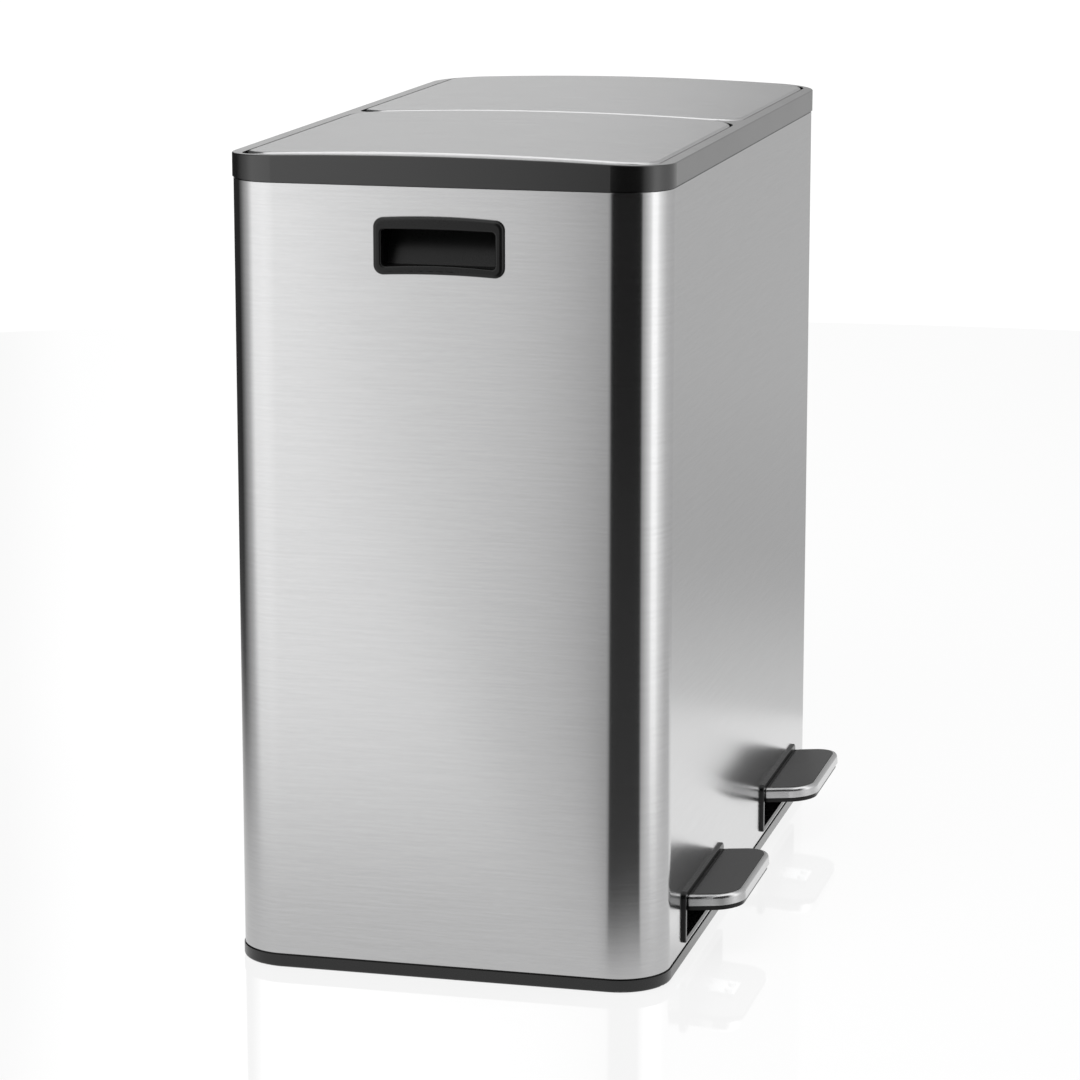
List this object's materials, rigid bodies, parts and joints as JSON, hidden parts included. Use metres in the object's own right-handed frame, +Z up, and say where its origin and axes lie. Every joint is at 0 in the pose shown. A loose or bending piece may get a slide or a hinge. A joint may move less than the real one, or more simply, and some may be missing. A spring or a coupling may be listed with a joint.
{
  "type": "double pedal recycling bin",
  "caption": "Free-standing pedal bin: brushed steel body, black plastic rim and base, hinged crowned lids lifted by pedals through push rods, and lift-out inner buckets.",
  "frame": {"origin": "on the floor, below the middle of the whole object's outline, pedals included", "axes": "+X along the length, -Y the side with the pedals, +Z up"},
  "size_m": [0.646, 0.3858, 0.6366],
  "materials": {
    "steel_body": "fine vertical brush, satin",
    "steel_lid": "fine lengthwise brush, satin",
    "steel_pedal": "fine lengthwise brush, satin",
    "plated_steel": "plain zinc plated",
    "black_rim": "semi-gloss moulded",
    "black_trim": "satin moulded",
    "black_base": "fine texture moulded",
    "pedal_pad": "satin",
    "liner_black": "fine texture moulded",
    "bucket_plastic": "satin moulded",
    "inner_plastic": "moulded",
    "rubber": "soft pads"
  },
  "bodies": {
    "root": {"steel_shell": "steel_body", "base_tray": "black_base", "base_feet": "rubber", "top_rim": "black_rim", "floor_panel": "inner_plastic", "floor_screws": "plated_steel", "rod_guides": "inner_plastic", "axle_clips": "plated_steel", "bracket_rivets": "plated_steel", "end_handle_left": "black_trim", "end_handle_right": "black_trim", "pedal_bezel_left": "black_trim", "pedal_bezel_right": "black_trim", "rod_cover_left": "inner_plastic", "rod_cover_right": "inner_plastic", "lever_bracket_left": "plated_steel", "lever_bracket_right": "plated_steel", "lever_axle_left": "plated_steel", "lever_axle_right": "plated_steel", "hinge_pins_left": "plated_steel", "hinge_pins_right": "plated_steel"},
    "lid_left": {"lid_skin_left": "steel_lid", "lid_liner_left": "liner_black", "lid_bumpers_left": "rubber", "lid_crank_left": "plated_steel", "crank_pin_left": "plated_steel", "crank_screws_left": "plated_steel"},
    "lid_right": {"lid_skin_right": "steel_lid", "lid_liner_right": "liner_black", "lid_bumpers_right": "rubber", "lid_crank_right": "plated_steel", "crank_pin_right": "plated_steel", "crank_screws_right": "plated_steel"},
    "pedal_left": {"pedal_tread_left": "steel_pedal", "pedal_pad_left": "pedal_pad", "pedal_core_left": "black_trim", "pedal_lever_left": "plated_steel", "pedal_screws_left": "plated_steel"},
    "pedal_right": {"pedal_tread_right": "steel_pedal", "pedal_pad_right": "pedal_pad", "pedal_core_right": "black_trim", "pedal_lever_right": "plated_steel", "pedal_screws_right": "plated_steel"},
    "rod_left": {"push_rod_left": "plated_steel", "rod_head_left": "inner_plastic", "rod_foot_left": "inner_plastic"},
    "rod_right": {"push_rod_right": "plated_steel", "rod_head_right": "inner_plastic", "rod_foot_right": "inner_plastic"},
    "bucket_left": {"bucket_left": "bucket_plastic"},
    "bucket_right": {"bucket_right": "bucket_plastic"}
  },
  "joints": [
    {"name": "lid_hinge_left", "type": "hinge", "parent": "root", "child": "lid_left", "pos_m": [-0.15975, 0.16905, 0.6274], "axis": [-1, 0, 0], "range_deg": [0, 80]},
    {"name": "pedal_hinge_left", "type": "hinge", "parent": "root", "child": "pedal_left", "pos_m": [-0.1595, -0.04795, 0.024], "axis": [1, 0, 0], "range_deg": [0, 9.43]},
    {"name": "push_rod_slide_left", "type": "slide", "parent": "root", "child": "rod_left", "axis": [0, 0, 1], "range_m": [0, 0.03214]},
    {"name": "bucket_lift_left", "type": "slide", "parent": "root", "child": "bucket_left", "axis": [0, 0, 1], "range_m": [0, 0.008]},
    {"name": "lid_hinge_right", "type": "hinge", "parent": "root", "child": "lid_right", "pos_m": [0.15975, 0.16905, 0.6274], "axis": [-1, 0, 0], "range_deg": [0, 80]},
    {"name": "pedal_hinge_right", "type": "hinge", "parent": "root", "child": "pedal_right", "pos_m": [0.1595, -0.04795, 0.024], "axis": [1, 0, 0], "range_deg": [0, 9.43]},
    {"name": "push_rod_slide_right", "type": "slide", "parent": "root", "child": "rod_right", "axis": [0, 0, 1], "range_m": [0, 0.03214]},
    {"name": "bucket_lift_right", "type": "slide", "parent": "root", "child": "bucket_right", "axis": [0, 0, 1], "range_m": [0, 0.008]}
  ],
  "couplings": [
    {"joint": "pedal_hinge_left", "follows": "lid_hinge_left", "ratio": 0.11786},
    {"joint": "push_rod_slide_left", "follows": "lid_hinge_left", "m_per_rad": 0.023016},
    {"joint": "pedal_hinge_right", "follows": "lid_hinge_right", "ratio": 0.11786},
    {"joint": "push_rod_slide_right", "follows": "lid_hinge_right", "m_per_rad": 0.023016}
  ]
}
